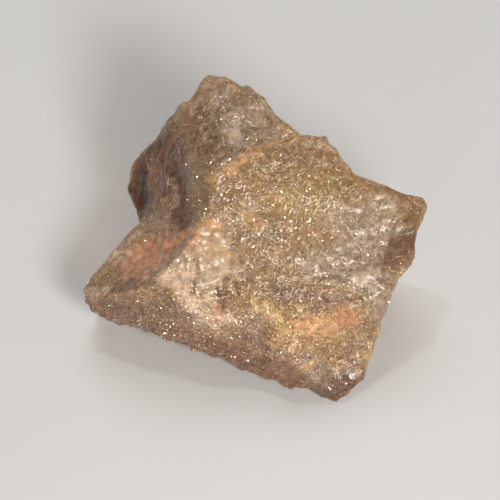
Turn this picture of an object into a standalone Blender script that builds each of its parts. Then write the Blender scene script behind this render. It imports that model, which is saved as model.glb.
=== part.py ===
# Rutilated quartz chunk: one broken lump of quartz, about 60 mm across, lying on its flat underside.
# Metres, +Z up. The origin is on the resting surface, below the middle of the stone.
#
# The stone is a ball of rays from one point inside it. A ray ends at the first broken face it meets,
# so the faces, rims, bites and hollows listed here are what gives the stone its shape.

import math

import bpy
import numpy as np

MM = 0.001
NAME = "quartz_chunk"

# Places are read as the stone is seen from the front and above, in millimetres:
# (right, up along the picture, near to the eye)
LOOK_DOWN = math.radians(50)          # how far down the eye looks
ZERO = np.array((0.0, -4.4, 18.4))    # where the reading's zero lies in the stone's own frame
HEART = np.array((-1.0, 1.0, -8.0))   # the point that the rays start from
FAR = 90.0                            # longer than any ray inside the stone

# Broad faces, each through three points of the stone
MAIN = ((29.0, 6.0, 0.0), (-8.0, 4.0, 9.0), (12.0, 20.0, 2.0))
LOWER = ((-9.6, 1.0, 8.0), (-18.0, -8.3, 7.5), (0.0, -17.0, 6.0))
LOWER_RIGHT = ((21.7, -16.5, 1.0), (13.8, -28.0, 0.0), (8.0, -14.0, 7.5))
CROWN = ((-7.5, 28.7, -10.4), (-6.6, 13.1, 5.0), (4.7, 20.1, 1.7))
LEFT = ((-12.0, 20.0, -3.5), (-9.5, 4.0, 7.5), (-22.2, 10.5, -13.0))
LOBE = ((-18.7, 14.5, -9.3), (-18.8, 5.0, -5.7), (-23.5, 11.0, -17.5))
ARM = ((-20.7, 2.5, -6.0), (-29.5, -8.5, -4.0), (-9.6, 1.8, 6.5))

# Rims of the outline: start, end, and how far the wall there turns toward the eye (degrees)
RIMS = (
    ((-8.8, 27.8, -10.5), (-4.6, 26.6, -9.5), -30),       # top of the crown
    ((28.6, 7.5, 0.0), (30.0, 5.0, 0.3), -12),            # right corner
    ((29.1, 4.2, 0.3), (19.6, -22.8, -0.3), -12),         # right edge
    ((20.6, -22.6, -0.3), (13.6, -27.9, -0.6), -10),      # bottom corner
    ((13.8, -28.0, -0.6), (-27.6, -12.0, -3.0), 35),      # rough band along the bottom
    ((13.8, -28.2, -0.6), (-27.6, -12.2, -3.0), -4),      # wall under the band
    ((-27.2, -11.8, -3.2), (-29.3, -8.9, -4.0), -10),     # left tip
    ((-22.2, 11.2, -16.0), (-13.9, 22.6, -7.7), -12),     # upper left
)

# Rims that only cut together with a neighbour, where the outline turns inward
CROWN_EDGE = ((-5.2, 26.5, -9.5), (6.0, 20.1, 1.5), -40)
MAIN_EDGE = ((6.0, 20.9, 2.5), (28.7, 8.1, 0.0), -40)
LEFT_EDGE = ((-22.4, 10.9, -15.0), (-19.3, 2.0, -12.0), -15)
ARM_EDGE = ((-20.9, 2.6, -6.0), (-29.0, -8.0, -4.0), -20)
CROWN_SIDE = ((-11.0, 23.6, -8.0), (-8.4, 28.7, -9.5), -10)
SHELF = ((-16.0, 21.8, -10.0), (-10.9, 23.1, -8.0), -20)
STEP = ((-6.6, 13.1, 5.5), (4.7, 20.1, 3.0), 48)

# Hidden walls: a point of the stone and the way that the wall faces (right, back, up)
WALLS = (
    ((0.0, 22.6, 18.0), (0.10, 0.92, -0.37)),
    ((-14.0, 17.6, 10.0), (-0.60, 0.70, -0.35)),
    ((22.0, 14.1, 12.0), (0.74, 0.62, -0.26)),
)

# Bites out of the rim: middle, the way it opens, depth and half width
BITES = (
    ((9.0, 18.7, 2.8), (0.45, 0.82, -0.35), 0.5, 2.6),
    ((19.6, 12.3, 1.0), (0.50, 0.78, -0.40), 1.2, 7.2),
    ((24.0, -9.8, 2.6), (0.90, -0.36, -0.25), 1.3, 5.0),
    ((-12.6, 24.6, -9.0), (-0.55, 0.80, -0.30), 1.0, 3.0),
)

# Hollows of the near side: middle (right, up), half widths, turn (degrees), depth; a rise is negative
HOLLOWS = (
    ((-6.1, -1.8), (4.8, 3.6), -35, 0.5),      # shell-shaped scar in the middle
    ((-4.4, -8.8), (1.5, 3.6), 12, 0.6),       # crescent-shaped dent beside it
    ((9.8, -10.4), (8.2, 3.2), -4, 1.3),       # recess above the ledge
    ((12.2, -15.0), (6.6, 2.5), -6, -1.1),     # ledge
    ((26.4, 0.9), (1.3, 1.6), 0, 0.6),         # nick by the right corner
    ((-13.5, -7.5), (3.2, 2.4), 20, -0.5),     # rise on the lower face
    ((-8.0, -13.0), (3.0, 2.2), 0, -0.5),      # another, nearer the band
    ((-14.0, -3.4), (6.6, 1.0), 44, -0.7),     # ridge along the arm
    ((-17.0, -3.2), (5.6, 1.3), 42, 0.5),      # groove beside it
    ((-15.4, 7.0), (0.9, 5.0), -4, -0.5),      # upright ridge on the left face
    ((-12.9, 6.0), (1.5, 3.6), 0, 0.6),        # hollow beside it
    ((-10.4, -5.4), (0.8, 6.2), 0, 0.35),      # crease between arm and lower face
    ((14.6, -22.0), (4.2, 2.4), -35, 0.8),     # smooth dish in the lower right
    ((0.6, -16.6), (3.8, 2.5), -12, 0.6),      # dent in the lower middle
    ((23.9, -2.2), (1.6, 3.6), -18, 0.6),      # dent inside the right edge
    ((1.6, 3.6), (6.5, 1.2), -28, 0.5),        # shallow furrow across the main face
    ((10.9, 17.9), (2.5, 1.7), -10, -1.0),     # knob on the upper right edge
    ((14.3, 17.0), (1.4, 1.5), 0, 0.8),        # chip beside the knob
    ((-0.5, 26.3), (5.5, 1.8), -32, 0.6),      # chip along the top of the crown
    ((-8.5, -20.2), (3.6, 1.8), -15, -0.9),    # swelling of the bottom band
    ((1.5, -24.2), (4.6, 1.5), -22, 0.6),      # notches on both sides of it
    ((-16.2, -17.0), (4.0, 1.4), -20, 0.6),
)
NEAR_SIDE = -11.0                     # the hollows are on what is nearer than this
WAVER = 0.8                           # how far the hollows' outlines wander

# How softly two faces meet
CREASE = 1.2
BLUNT = 0.8
EDGE = 0.5
SHARP = 0.3

# Skin of the broken faces: height, size and seed of its lumps and grooves
LUMPS = ((0.40, 6.5, 1), (0.22, 3.0, 2))
GROOVES = (0.30, 1.9, 3)
BAND_LUMPS = ((0.45, 1.7, 4), (0.25, 4.5, 5))
BAND_CREST = (-18.6, -0.36)           # height over the middle, and slope, of the bottom band's crest
BAND_FADE = 1.5
FLAKES = ((11, 70, 6.0, 0.7), (12, 260, 3.0, 0.35))   # seed, number, width and depth of the scars
FLAKE_TILT = 0.35
SKIN_MIDDLE = 0.65                    # what the scars and grooves take away on average
ROUNDING_LIFT = 0.25                  # makes up for the rounded edges
SIDESTEP = 0.03                       # how far beside a ray its face's slant is felt (radians)
STEEPEST = 2.2                        # most that relief is stretched where a ray leaves at a slant

FINENESS = 7                          # subdivisions of the ball of rays
TRIANGLES = 12000                     # of the stone before its underside is cut flat
CUTTER_SIDE = 0.1                     # wider than the stone
QUARTZ = (0.40, 0.28, 0.17, 1.0)


def unit(vector):
    vector = np.asarray(vector, float)
    return vector / np.linalg.norm(vector, axis=-1, keepdims=True)


def to_stone(reading):
    """Turns a direction (right, up, near) into (right, back, up) as the stone lies."""
    right, up, near = np.moveaxis(np.asarray(reading, float), -1, 0)
    sine, cosine = math.sin(LOOK_DOWN), math.cos(LOOK_DOWN)
    return np.stack((right, up * sine - near * cosine, up * cosine + near * sine), -1)


def to_reading(direction):
    """Turns a direction (right, back, up) as the stone lies into (right, up, near)."""
    right, back, height = np.moveaxis(np.asarray(direction, float), -1, 0)
    sine, cosine = math.sin(LOOK_DOWN), math.cos(LOOK_DOWN)
    return np.stack((right, back * sine + height * cosine, height * sine - back * cosine), -1)


def plane(normal, point):
    """A plane as its outward direction and its distance from the heart."""
    normal = unit(normal)
    distance = float(normal @ (np.asarray(point, float) - HEART))
    return (normal, distance) if distance > 0 else (-normal, -distance)


def face(first, second, third):
    across, along = np.subtract(second, first), np.subtract(third, first)
    return plane(np.cross(across, along), first)


def rim(start, end, toward_eye):
    """The wall that runs from start to end and is turned toward the eye by so many degrees."""
    along = unit(np.subtract(end, start))
    outward, _ = plane(np.cross((0, 0, 1), along), start)
    eyeward = np.cross(along, outward)
    eyeward = eyeward * np.sign(eyeward[2])
    turn = math.radians(toward_eye)
    return plane(outward * math.cos(turn) + eyeward * math.sin(turn), start)


def wall(point, way):
    return plane(to_reading(way), to_reading(point - ZERO))


def reach(rays, flat):
    """How far each ray runs before it meets a plane."""
    normal, distance = flat
    return distance / np.maximum(rays @ normal, distance / FAR)


def bitten(rays, middle, way, depth, half_width):
    """How far each ray runs before it meets the ball that takes a shallow bite out of the rim."""
    radius = (half_width ** 2 + depth ** 2) / (2 * depth)
    centre = np.asarray(middle) + unit(way) * (radius - depth) - HEART
    nearest = rays @ centre
    half_chord = nearest ** 2 - (centre @ centre - radius ** 2)
    hits = (half_chord > 0) & (nearest > 0)
    return np.where(hits, nearest - np.sqrt(np.maximum(half_chord, 0)), FAR)


def least(one, other, rounding):
    """The smaller of two lengths, with the corner between them rounded."""
    share = np.clip(0.5 + 0.5 * (other - one) / rounding, 0, 1)
    return other + (one - other) * share - rounding * share * (1 - share)


def most(one, other, rounding):
    return -least(-one, -other, rounding)


def broken_faces(rays):
    """Where each ray leaves the stone, before any roughness."""
    length = reach(rays, face(*MAIN))
    for corners in (LOWER, LOWER_RIGHT):
        length = least(length, reach(rays, face(*corners)), CREASE)
    crown = most(reach(rays, face(*CROWN)), reach(rays, rim(*STEP)), EDGE)
    length = least(length, crown, SHARP)

    left = least(reach(rays, face(*LEFT)), reach(rays, rim(*LEFT_EDGE)), BLUNT)
    left = least(left, reach(rays, face(*LOBE)), SHARP)
    arm = least(reach(rays, face(*ARM)), reach(rays, rim(*ARM_EDGE)), BLUNT)
    length = least(length, most(left, arm, CREASE), BLUNT)

    for one, other in ((CROWN_SIDE, SHELF), (CROWN_EDGE, MAIN_EDGE)):
        corner = most(reach(rays, rim(*one)), reach(rays, rim(*other)), EDGE)
        length = least(length, corner, EDGE)
    for edge in RIMS:
        length = least(length, reach(rays, rim(*edge)), EDGE)
    for side in WALLS:
        length = least(length, reach(rays, wall(*side)), CREASE)
    for bite in BITES:
        length = least(length, bitten(rays, *bite), BLUNT)
    return length


def scatter(cells, seed):
    """A fixed number from -1 to 1 for each whole-numbered cell: its digits mixed and cut short."""
    mixed = cells @ np.array((374761393, 668265263, 1440662683)) + seed * 1274126177
    mixed = mixed & 0xFFFFFFFF
    mixed = ((mixed ^ (mixed >> 13)) * 1274126177) & 0xFFFFFFFF
    return ((mixed ^ (mixed >> 16)) & 0xFFFF) / 32767.5 - 1


def lumps(points, size, seed):
    """Smooth hills and hollows of about one size, from -1 to 1."""
    cells = np.floor(points / size).astype(np.int64)
    part = points / size - cells
    part = part * part * (3 - 2 * part)
    total = np.zeros(len(points))
    for corner in np.ndindex(2, 2, 2):
        weight = np.where(corner, part, 1 - part).prod(axis=-1)
        total += weight * scatter(cells + np.array(corner), seed)
    return total


def flakes(points, seed, number, width, depth):
    """Flake scars: tilted dishes that meet in sharp ridges, as deep as the deepest dish there."""
    random = np.random.default_rng(seed)
    rays = unit(random.normal(size=(number, 3)))
    middles = rays * broken_faces(rays)[:, None]
    sizes = random.uniform(0.6, 1.4, number)
    tilts = random.normal(size=(number, 3)) * FLAKE_TILT
    deepest = np.zeros(len(points))
    for middle, size, tilt in zip(middles, sizes, tilts):
        away = (points - middle) / (size * width)
        dish = 1 - (away * away).sum(axis=-1) + away @ tilt
        deepest = np.maximum(deepest, dish * size)
    return deepest * depth


def hollows(points):
    """The dishes and rises of the near side, as heights: a bowl over a wandering oval."""
    right, up, near = (points + HEART).T
    right = right + WAVER * lumps(points, 3.0, 6)
    up = up + WAVER * lumps(points, 3.0, 7)
    relief = np.zeros(len(points))
    for middle, half_widths, turn, depth in HOLLOWS:
        cosine, sine = math.cos(math.radians(turn)), math.sin(math.radians(turn))
        across, along = right - middle[0], up - middle[1]
        first = (across * cosine + along * sine) / half_widths[0]
        second = (along * cosine - across * sine) / half_widths[1]
        relief -= depth * np.maximum(1 - first ** 2 - second ** 2, 0) ** 0.8
    return relief * (near > NEAR_SIDE)


def skin(points):
    """How far the skin stands out of, or sinks into, the broken faces."""
    height = sum(tall * lumps(points, size, seed) for tall, size, seed in LUMPS)
    tall, size, seed = GROOVES
    height = height - tall * np.abs(lumps(points, size, seed))
    right, up, _ = (points + HEART).T
    band = np.clip((BAND_CREST[0] + BAND_CREST[1] * right - up) / BAND_FADE, 0, 1)
    for tall, size, seed in BAND_LUMPS:
        height = height + band * tall * lumps(points, size, seed)
    for scars in FLAKES:
        height = height - flakes(points, *scars)
    return height + hollows(points)


def slant(rays, length):
    """How aslant each ray leaves its face: 1 where it leaves square on."""
    sideways = unit(np.cross(rays, (0.3, 0.5, 0.8)))
    steep = 1
    for tangent in (sideways, np.cross(rays, sideways)):
        beside = broken_faces(unit(rays + tangent * SIDESTEP))
        steep = steep + ((beside - length) / SIDESTEP / length) ** 2
    return np.minimum(np.sqrt(steep), STEEPEST)


def stone(rays):
    """The stone's surface, one point for each ray, in millimetres as it lies."""
    length = broken_faces(rays)
    points = rays * length[:, None]
    relief = (skin(points) + SKIN_MIDDLE) * slant(rays, length) + ROUNDING_LIFT
    points = points + rays * relief[:, None]
    return to_stone(points + HEART) + ZERO


def quartz():
    """Pale smoky quartz with a golden cast, glossy where it broke."""
    material = bpy.data.materials.new("quartz")
    material.use_nodes = True
    shader = material.node_tree.nodes["Principled BSDF"]
    shader.inputs["Base Color"].default_value = QUARTZ
    shader.inputs["Roughness"].default_value = 0.25
    shader.inputs["Metallic"].default_value = 0.0
    shader.inputs["IOR"].default_value = 1.544
    material.diffuse_color = QUARTZ
    return material


def put_in(name, thing):
    """Puts a thing in its own named collection."""
    group = bpy.data.collections.new(name)
    bpy.context.scene.collection.children.link(group)
    for old in thing.users_collection:
        old.objects.unlink(thing)
    group.objects.link(thing)


def make_stone():
    bpy.ops.mesh.primitive_ico_sphere_add(subdivisions=FINENESS, radius=1)
    chunk = bpy.context.object
    chunk.name = NAME
    chunk.data.name = NAME
    rays = np.empty(len(chunk.data.vertices) * 3)
    chunk.data.vertices.foreach_get("co", rays)
    surface = stone(unit(rays.reshape(-1, 3))) * MM
    chunk.data.vertices.foreach_set("co", surface.ravel())
    chunk.data.update()
    chunk.data.materials.append(quartz())
    return chunk


def make_cutter():
    """What lies below the resting surface."""
    bpy.ops.mesh.primitive_cube_add(size=CUTTER_SIDE, location=(0, 0, -CUTTER_SIDE / 2))
    cutter = bpy.context.object
    cutter.name = "underside_cutter"
    cutter.hide_render = True
    cutter.display_type = "WIRE"
    return cutter


def main():
    for old in list(bpy.data.objects):
        bpy.data.objects.remove(old, do_unlink=True)
    chunk = make_stone()
    cutter = make_cutter()
    put_in("rutilated_quartz_chunk", chunk)
    put_in("cutters", cutter)

    fewer = chunk.modifiers.new("fewer triangles", "DECIMATE")
    fewer.ratio = TRIANGLES / len(chunk.data.polygons)
    flat = chunk.modifiers.new("flat underside", "BOOLEAN")
    flat.operation = "DIFFERENCE"
    flat.solver = "EXACT"
    flat.object = cutter


main()
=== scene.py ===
# Rutilated quartz chunk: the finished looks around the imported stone.
# Lengths are in millimetres where nothing else is said, and turn into metres as meshes and the
# camera are made.
import math

import bpy
import numpy as np
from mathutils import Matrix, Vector


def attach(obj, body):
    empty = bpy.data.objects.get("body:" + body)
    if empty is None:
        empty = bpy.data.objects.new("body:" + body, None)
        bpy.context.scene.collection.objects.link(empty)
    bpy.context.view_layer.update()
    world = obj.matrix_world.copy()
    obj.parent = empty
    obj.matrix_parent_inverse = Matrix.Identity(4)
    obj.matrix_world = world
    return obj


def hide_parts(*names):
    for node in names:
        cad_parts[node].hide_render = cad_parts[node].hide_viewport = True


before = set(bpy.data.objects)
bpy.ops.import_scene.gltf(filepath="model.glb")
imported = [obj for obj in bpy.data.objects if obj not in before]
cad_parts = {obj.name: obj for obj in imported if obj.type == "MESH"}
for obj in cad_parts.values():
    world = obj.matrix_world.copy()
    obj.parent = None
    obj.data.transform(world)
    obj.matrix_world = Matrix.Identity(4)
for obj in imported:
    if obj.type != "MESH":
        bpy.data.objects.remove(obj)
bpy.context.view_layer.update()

print("the packed stone is loaded")

# the stone's form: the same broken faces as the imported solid, on a finer grid

# Places are (right, up along the picture, near to the eye) as the stone is seen from the front and
# above. This is called the reading.
stone = {
    "lookDown": math.radians(50),
    "zero": np.array((0.0, -4.4, 18.4)),      # where the reading's zero lies as the stone rests
    "heart": np.array((-1.0, 1.0, -8.0)),     # the point that every ray starts from
    "far": 90.0,                              # a length past every face
    "crease": 1.2, "blunt": 0.8, "edge": 0.5, "sharp": 0.3,    # how softly two faces meet
    "lumps": ((0.40, 6.5, 1), (0.22, 3.0, 2)),                 # height, size, seed
    "grooves": (0.30, 1.9, 3),
    "bandLumps": ((0.45, 1.7, 4), (0.25, 4.5, 5)),             # on the rough band along the bottom
    "bandCrest": (-18.6, -0.36), "bandFade": 1.5,              # height at the middle, slope, fade
    "flakes": ((11, 70, 6.0, 0.7), (12, 260, 3.0, 0.35)),      # seed, number, width, depth
    "flakeSizes": (0.6, 1.4), "flakeTilt": 0.35,
    "skinMiddle": 0.65, "roundingLift": 0.25,                  # put back what scars and rounding take
    "sidestep": 0.03, "steepest": 2.2,                         # for the slant of a face to its ray
    "askew": (0.3, 0.5, 0.8),                                  # any way that few rays run along
    "nearSide": -11.0,                                         # the seen side is nearer than this
    "waver": 0.8, "waverSize": 3.0, "waverSeeds": (6, 7),      # how the outlines of hollows wander
    "hollowRound": 0.8,                                        # below 1 a hollow has a flatter floor
}

# broad faces, each through three points
broadFaces = {
    "main": ((29.0, 6.0, 0.0), (-8.0, 4.0, 9.0), (12.0, 20.0, 2.0)),
    "lower": ((-9.6, 1.0, 8.0), (-18.0, -8.3, 7.5), (0.0, -17.0, 6.0)),
    "lowerRight": ((21.7, -16.5, 1.0), (13.8, -28.0, 0.0), (8.0, -14.0, 7.5)),
    "crown": ((-7.5, 28.7, -10.4), (-6.6, 13.1, 5.0), (4.7, 20.1, 1.7)),
    "left": ((-12.0, 20.0, -3.5), (-9.5, 4.0, 7.5), (-22.2, 10.5, -13.0)),
    "lobe": ((-18.7, 14.5, -9.3), (-18.8, 5.0, -5.7), (-23.5, 11.0, -17.5)),
    "arm": ((-20.7, 2.5, -6.0), (-29.5, -8.5, -4.0), (-9.6, 1.8, 6.5)),
}

# walls along the outline: start, end, turn toward the eye in degrees
rims = (
    ((-8.8, 27.8, -10.5), (-4.6, 26.6, -9.5), -30),
    ((28.6, 7.5, 0.0), (30.0, 5.0, 0.3), -12),
    ((29.1, 4.2, 0.3), (19.6, -22.8, -0.3), -12),
    ((20.6, -22.6, -0.3), (13.6, -27.9, -0.6), -10),
    ((13.8, -28.0, -0.6), (-27.6, -12.0, -3.0), 35),
    ((13.8, -28.2, -0.6), (-27.6, -12.2, -3.0), -4),
    ((-27.2, -11.8, -3.2), (-29.3, -8.9, -4.0), -10),
    ((-22.2, 11.2, -16.0), (-13.9, 22.6, -7.7), -12),
)
# walls that meet in pairs or cut one face
pairedRims = {
    "crownEdge": ((-5.2, 26.5, -9.5), (6.0, 20.1, 1.5), -40),
    "mainEdge": ((6.0, 20.9, 2.5), (28.7, 8.1, 0.0), -40),
    "leftEdge": ((-22.4, 10.9, -15.0), (-19.3, 2.0, -12.0), -15),
    "armEdge": ((-20.9, 2.6, -6.0), (-29.0, -8.0, -4.0), -20),
    "crownSide": ((-11.0, 23.6, -8.0), (-8.4, 28.7, -9.5), -10),
    "shelf": ((-16.0, 21.8, -10.0), (-10.9, 23.1, -8.0), -20),
    "step": ((-6.6, 13.1, 5.5), (4.7, 20.1, 3.0), 48),
}
# walls on the far side: a point in the resting stone and the outward way
hiddenWalls = (
    ((0.0, 22.6, 18.0), (0.10, 0.92, -0.37)),
    ((-14.0, 17.6, 10.0), (-0.60, 0.70, -0.35)),
    ((22.0, 14.1, 12.0), (0.74, 0.62, -0.26)),
)
# bites out of the edge: middle, outward way, depth, half width
bites = (
    ((9.0, 18.7, 2.8), (0.45, 0.82, -0.35), 0.5, 2.6),
    ((19.6, 12.3, 1.0), (0.50, 0.78, -0.40), 1.2, 7.2),
    ((24.0, -9.8, 2.6), (0.90, -0.36, -0.25), 1.3, 5.0),
    ((-12.6, 24.6, -9.0), (-0.55, 0.80, -0.30), 1.0, 3.0),
)
# hollows in the near side: middle, half widths, turn in degrees, and depth, below 0 for a swelling
hollowPlaces = (
    ((-6.1, -1.8), (4.8, 3.6), -35, 0.5),      # pale scar beside the arm
    ((-4.4, -8.8), (1.5, 3.6), 12, 0.6),       # crescent dent under it
    ((9.8, -10.4), (8.2, 3.2), -4, 1.3),       # recess above the ledge
    ((12.2, -15.0), (6.6, 2.5), -6, -1.1),     # ledge
    ((26.4, 0.9), (1.3, 1.6), 0, 0.6),         # chip below the right corner
    ((-13.5, -7.5), (3.2, 2.4), 20, -0.5),     # two cream swellings on the lower face
    ((-8.0, -13.0), (3.0, 2.2), 0, -0.5),
    ((-14.0, -3.4), (6.6, 1.0), 44, -0.7),     # ridge along the arm
    ((-17.0, -3.2), (5.6, 1.3), 42, 0.5),      # furrow beside that ridge
    ((-15.4, 7.0), (0.9, 5.0), -4, -0.5),      # upright ridge on the left face
    ((-12.9, 6.0), (1.5, 3.6), 0, 0.6),        # furrow to the right of it
    ((-10.4, -5.4), (0.8, 6.2), 0, 0.35),      # crease between arm and lower face
    ((14.6, -22.0), (4.2, 2.4), -35, 0.8),     # smooth dish in the lower right
    ((0.6, -16.6), (3.8, 2.5), -12, 0.6),      # dark dent over the bottom band
    ((23.9, -2.2), (1.6, 3.6), -18, 0.6),      # dark scar along the right edge
    ((1.6, 3.6), (6.5, 1.2), -28, 0.5),        # shallow furrow across the main face
    ((10.9, 17.9), (2.5, 1.7), -10, -1.0),     # knob on the upper right edge
    ((14.3, 17.0), (1.4, 1.5), 0, 0.8),        # notch to the right of the knob
    ((-0.5, 26.3), (5.5, 1.8), -32, 0.6),      # long chip off the crown's edge
    ((-8.5, -20.2), (3.6, 1.8), -15, -0.9),    # swelling of the bottom band
    ((1.5, -24.2), (4.6, 1.5), -22, 0.6),      # notches on both sides of it
    ((-16.2, -17.0), (4.0, 1.4), -20, 0.6),
)


# a vector over its own length
def unit(vector):
    vector = np.asarray(vector, float)
    return vector / np.linalg.norm(vector, axis=-1, keepdims=True)


# the reading turned about the right axis by 90 degrees less the look down: gives right, back, up
def toStone(reading):
    right, up, near = np.moveaxis(np.asarray(reading, float), -1, 0)
    sine, cosine = math.sin(stone["lookDown"]), math.cos(stone["lookDown"])
    return np.stack((right, up * sine - near * cosine, up * cosine + near * sine), -1)


# the same turn backwards
def toReading(direction):
    right, back, height = np.moveaxis(np.asarray(direction, float), -1, 0)
    sine, cosine = math.sin(stone["lookDown"]), math.cos(stone["lookDown"])
    return np.stack((right, back * sine + height * cosine, height * sine - back * cosine), -1)


# a plane as its outward direction and its distance from the heart
def flat(normal, point):
    normal = unit(normal)
    distance = float(normal @ (np.asarray(point, float) - stone["heart"]))
    return (normal, distance) if distance > 0 else (-normal, -distance)


# a plane through three points: its way is square to both edges from the first one
def throughThree(first, second, third):
    return flat(np.cross(np.subtract(second, first), np.subtract(third, first)), first)


# the plane through the edge, square to the view, then turned toward the eye
def rimPlane(start, end, turn):
    along = unit(np.subtract(end, start))
    outward, _ = flat(np.cross((0, 0, 1), along), start)
    eyeward = np.cross(along, outward)
    eyeward = eyeward * np.sign(eyeward[2])
    angle = math.radians(turn)
    return flat(outward * math.cos(angle) + eyeward * math.sin(angle), start)


# ray to plane: distance over the cosine between ray and normal
def reach(rays, plane):
    normal, distance = plane
    return distance / np.maximum(rays @ normal, distance / stone["far"])


# ray to ball: the nearer root of the quadratic
def bitten(rays, middle, way, depth, halfWidth):
    radius = (halfWidth ** 2 + depth ** 2) / (2 * depth)
    centre = np.asarray(middle) + unit(way) * (radius - depth) - stone["heart"]
    nearest = rays @ centre
    halfChord = nearest ** 2 - (centre @ centre - radius ** 2)
    hits = (halfChord > 0) & (nearest > 0)
    return np.where(hits, nearest - np.sqrt(np.maximum(halfChord, 0)), stone["far"])


# the smaller of two, less a parabola where they are within the rounding of each other
def least(one, other, rounding):
    share = np.clip(0.5 + 0.5 * (other - one) / rounding, 0, 1)
    return other + (one - other) * share - rounding * share * (1 - share)


# the larger of two, rounded in the same way: the least of both turned over
def most(one, other, rounding):
    return -least(-one, -other, rounding)


# the ray's length to the nearest of all faces, rims, walls and bites
def brokenFaces(rays):
    faceOf = {name: reach(rays, throughThree(*corners)) for name, corners in broadFaces.items()}
    rimOf = {name: reach(rays, rimPlane(*edge)) for name, edge in pairedRims.items()}
    length = faceOf["main"]
    length = least(length, faceOf["lower"], stone["crease"])
    length = least(length, faceOf["lowerRight"], stone["crease"])
    length = least(length, most(faceOf["crown"], rimOf["step"], stone["edge"]), stone["sharp"])
    left = least(faceOf["left"], rimOf["leftEdge"], stone["blunt"])
    left = least(left, faceOf["lobe"], stone["sharp"])
    arm = least(faceOf["arm"], rimOf["armEdge"], stone["blunt"])
    length = least(length, most(left, arm, stone["crease"]), stone["blunt"])
    for one, other in (("crownSide", "shelf"), ("crownEdge", "mainEdge")):
        length = least(length, most(rimOf[one], rimOf[other], stone["edge"]), stone["edge"])
    for edge in rims:
        length = least(length, reach(rays, rimPlane(*edge)), stone["edge"])
    for point, way in hiddenWalls:
        plane = flat(toReading(way), toReading(point - stone["zero"]))
        length = least(length, reach(rays, plane), stone["crease"])
    for bite in bites:
        length = least(length, bitten(rays, *bite), stone["blunt"])
    return length


# a fixed number from -1 to 1 for each whole-numbered cell: its digits mixed and cut short
def scatter(cells, seed):
    mixed = cells @ np.array((374761393, 668265263, 1440662683)) + seed * 1274126177
    mixed = mixed & 0xFFFFFFFF
    mixed = ((mixed ^ (mixed >> 13)) * 1274126177) & 0xFFFFFFFF
    return ((mixed ^ (mixed >> 16)) & 0xFFFF) / 32767.5 - 1


# the scatter at a cell's eight corners, blended by smoothed distance
def hills(points, size, seed):
    cells = np.floor(points / size).astype(np.int64)
    part = points / size - cells
    part = part * part * (3 - 2 * part)
    total = np.zeros(len(points))
    for corner in np.ndindex(2, 2, 2):
        weight = np.where(corner, part, 1 - part).prod(axis=-1)
        total += weight * scatter(cells + np.array(corner), seed)
    return total


# the highest of many tilted bowls, 1 - distance squared, each round its own middle
def flakeScars(points, seed, number, width, depth):
    random = np.random.default_rng(seed)
    rays = unit(random.normal(size=(number, 3)))
    middles = rays * brokenFaces(rays)[:, None]
    sizes = random.uniform(*stone["flakeSizes"], number)
    tilts = random.normal(size=(number, 3)) * stone["flakeTilt"]
    deepest = np.zeros(len(points))
    for middle, size, tilt in zip(middles, sizes, tilts):
        away = (points - middle) / (size * width)
        dish = 1 - (away * away).sum(axis=-1) + away @ tilt
        deepest = np.maximum(deepest, dish * size)
    return deepest * depth


# two lengths across and along, as seen on axes turned by an angle
def turned(across, along, turn):
    cosine, sine = math.cos(math.radians(turn)), math.sin(math.radians(turn))
    return across * cosine + along * sine, along * cosine - across * sine


# bowls over wandering ovals on the near side, depth times a power of (1 - distance squared)
def hollows(points):
    right, up, near = (points + stone["heart"]).T
    rightSeed, upSeed = stone["waverSeeds"]
    right = right + stone["waver"] * hills(points, stone["waverSize"], rightSeed)
    up = up + stone["waver"] * hills(points, stone["waverSize"], upSeed)
    relief = np.zeros(len(points))
    for middle, halfWidths, turn, depth in hollowPlaces:
        first, second = turned(right - middle[0], up - middle[1], turn)
        inside = 1 - (first / halfWidths[0]) ** 2 - (second / halfWidths[1]) ** 2
        relief -= depth * np.maximum(inside, 0) ** stone["hollowRound"]
    return relief * (near > stone["nearSide"])


# 1 below the crest line of the rough bottom band, fading to 0 above it
def bandShare(points):
    right, up, _ = (points + stone["heart"]).T
    crest, slope = stone["bandCrest"]
    return np.clip((crest + slope * right - up) / stone["bandFade"], 0, 1)


# hills less grooves less flake scars, plus the hollows
def skinHeight(points):
    height = sum(tall * hills(points, size, seed) for tall, size, seed in stone["lumps"])
    tall, size, seed = stone["grooves"]
    height = height - tall * np.abs(hills(points, size, seed))
    for tall, size, seed in stone["bandLumps"]:
        height = height + bandShare(points) * tall * hills(points, size, seed)
    for scars in stone["flakes"]:
        height = height - flakeScars(points, *scars)
    return height + hollows(points)


# one over the cosine between a ray and its face's normal, from two rays beside it
def slant(rays, length):
    sideways = unit(np.cross(rays, stone["askew"]))
    steep = 1
    for tangent in (sideways, np.cross(rays, sideways)):
        beside = brokenFaces(unit(rays + tangent * stone["sidestep"]))
        steep = steep + ((beside - length) / stone["sidestep"] / length) ** 2
    return np.minimum(np.sqrt(steep), stone["steepest"])


# the ray's length to the skin: broken faces plus the solid's and a finer relief along the ray, and
# never below the ground
def skinLength(rays, finer):
    length = brokenFaces(rays)
    points = rays * length[:, None]
    relief = skinHeight(points) + stone["skinMiddle"] + finer(points)
    length = length + relief * slant(rays, length) + stone["roundingLift"]
    heartHeight = (toStone(stone["heart"]) + stone["zero"])[2]
    fall = np.maximum(-toStone(rays)[:, 2], heartHeight / stone["far"])
    return np.minimum(length, heartHeight / fall)


# a reading measured from the heart, as a place in the resting stone
def place(points):
    return toStone(points + stone["heart"]) + stone["zero"]


# meshes

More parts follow.
